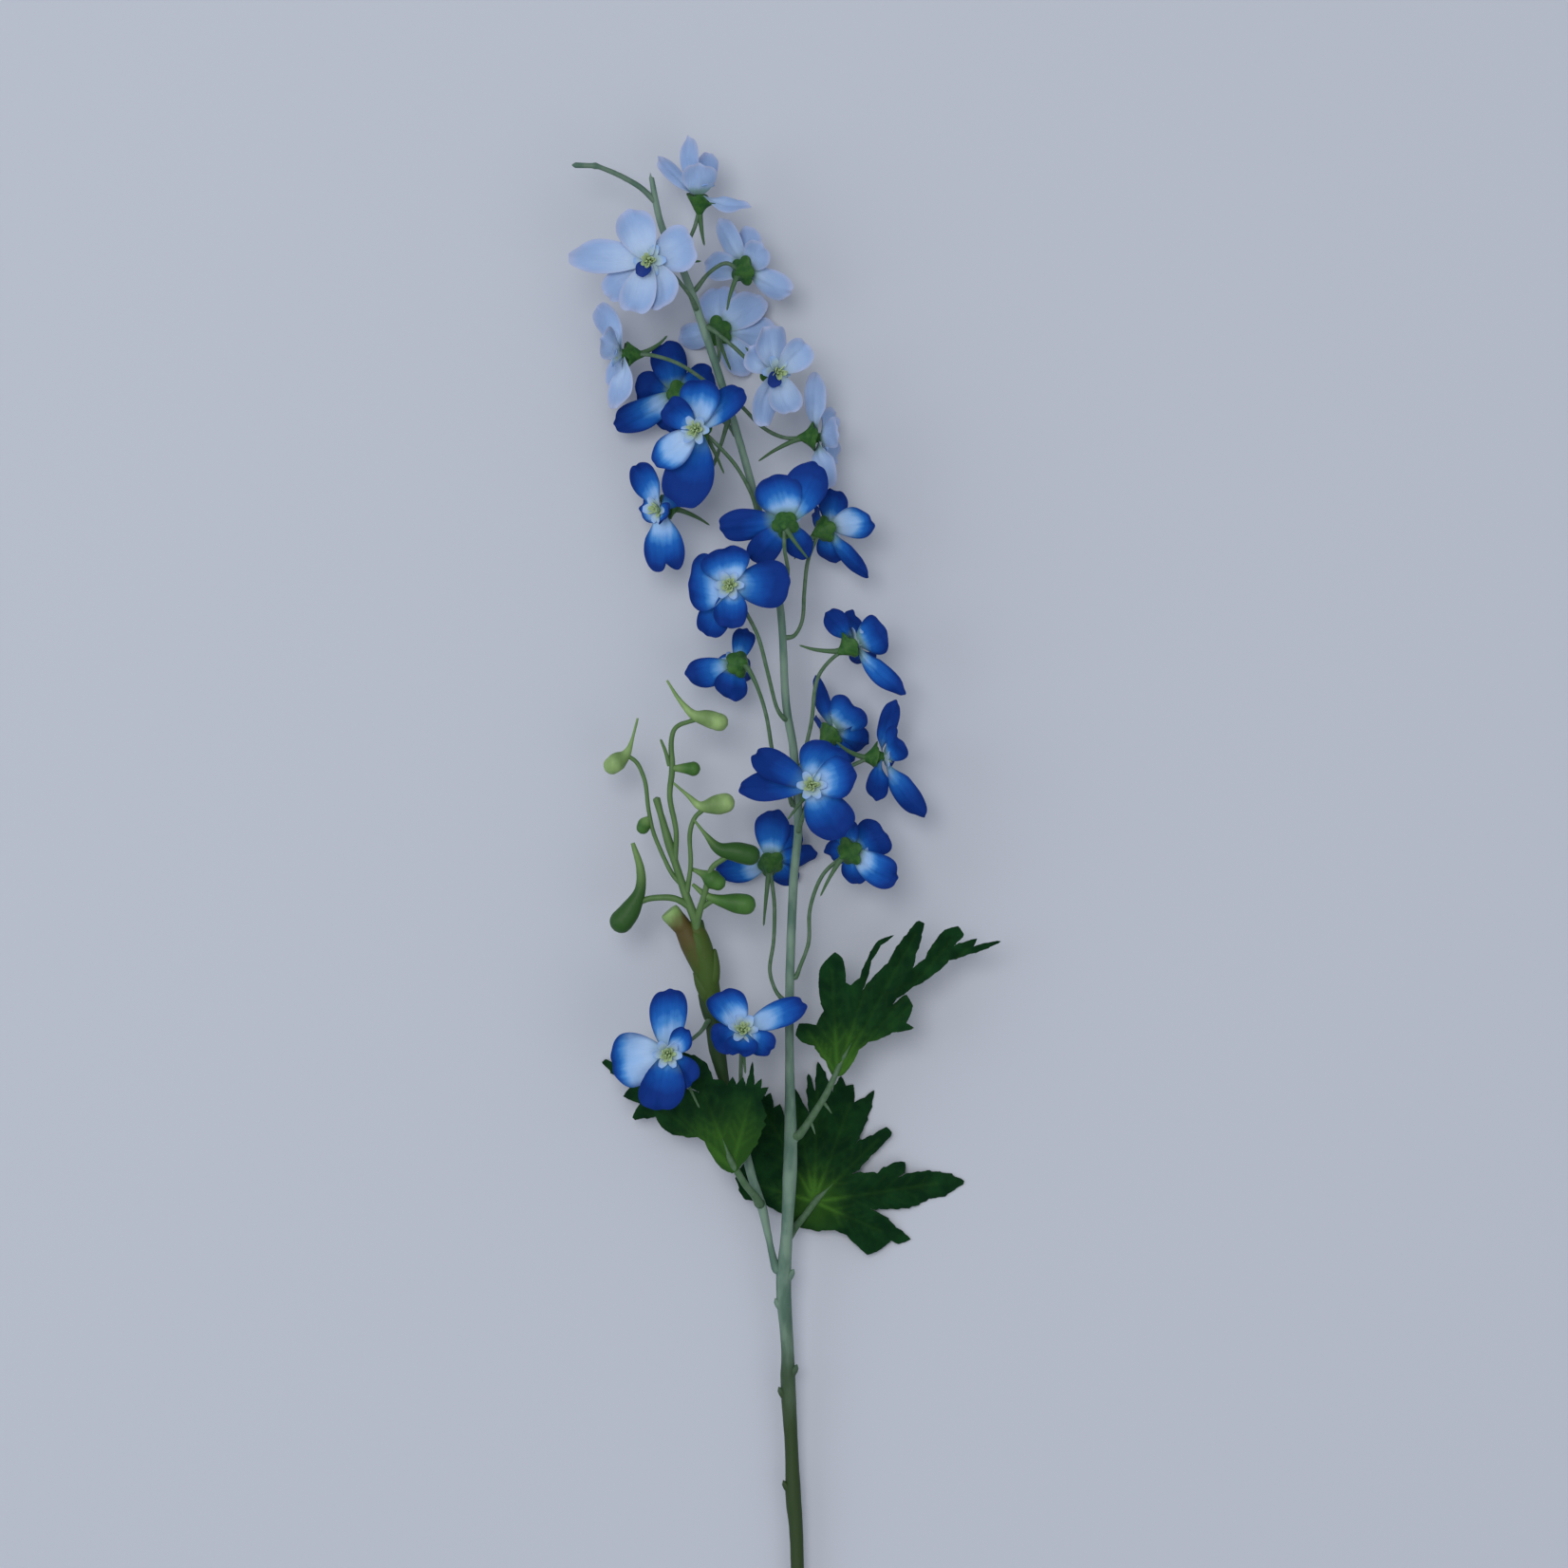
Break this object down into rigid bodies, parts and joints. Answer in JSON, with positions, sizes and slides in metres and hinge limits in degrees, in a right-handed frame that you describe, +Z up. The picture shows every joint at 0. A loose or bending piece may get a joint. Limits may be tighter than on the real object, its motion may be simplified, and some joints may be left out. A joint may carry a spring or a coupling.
{
  "type": "delphinium flower spike",
  "caption": "Cut blue delphinium spray lying down, with spurred florets on thin stalks, a sprig of green buds on a side branch and dark cut leaves.",
  "frame": {"origin": "centre of the box that the spray fills, on the surface that it lies on", "axes": "+Y along the spike from the cut end to the tip, +X to the right of the spike seen from above, +Z up from the surface"},
  "size_m": [0.1805, 0.7395, 0.0569],
  "materials": {
    "stem": "matt grey-green coating, darker green towards the cut end",
    "calyx": "matt moulded green",
    "buds": "matt yellow-green with darker bases",
    "leaf": "dark green cloth, lighter at the base of its veins",
    "petal_pale": "pale blue cloth, whiter at the centre",
    "petal_deep": "deep blue cloth, pale at the centre and navy at the edges"
  },
  "bodies": {
    "root": {"main_stem": "stem", "side_branch": "stem", "bud_sprig": "buds", "leaf_left": "leaf", "leaf_upper_right": "leaf", "leaf_lower_right": "leaf", "floret_01_stalk": "calyx", "floret_01_petals": "petal_pale", "floret_02_stalk": "calyx", "floret_02_petals": "petal_pale", "floret_03_stalk": "calyx", "floret_03_petals": "petal_pale", "floret_04_stalk": "calyx", "floret_04_petals": "petal_pale", "floret_05_stalk": "calyx", "floret_05_petals": "petal_pale", "floret_06_stalk": "calyx", "floret_06_petals": "petal_deep", "floret_07_stalk": "calyx", "floret_07_petals": "petal_deep", "floret_08_stalk": "calyx", "floret_08_petals": "petal_deep", "floret_09_stalk": "calyx", "floret_09_petals": "petal_pale", "floret_10_stalk": "calyx", "floret_10_petals": "petal_pale", "floret_11_stalk": "calyx", "floret_11_petals": "petal_deep", "floret_12_stalk": "calyx", "floret_12_petals": "petal_deep", "floret_13_stalk": "calyx", "floret_13_petals": "petal_deep", "floret_14_stalk": "calyx", "floret_14_petals": "petal_deep", "floret_15_stalk": "calyx", "floret_15_petals": "petal_deep", "floret_16_stalk": "calyx", "floret_16_petals": "petal_deep", "floret_17_stalk": "calyx", "floret_17_petals": "petal_deep", "floret_18_stalk": "calyx", "floret_18_petals": "petal_deep", "floret_19_stalk": "calyx", "floret_19_petals": "petal_deep", "floret_20_stalk": "calyx", "floret_20_petals": "petal_deep", "floret_21_stalk": "calyx", "floret_21_petals": "petal_deep", "floret_22_stalk": "calyx", "floret_22_petals": "petal_deep"}
  },
  "joints": []
}
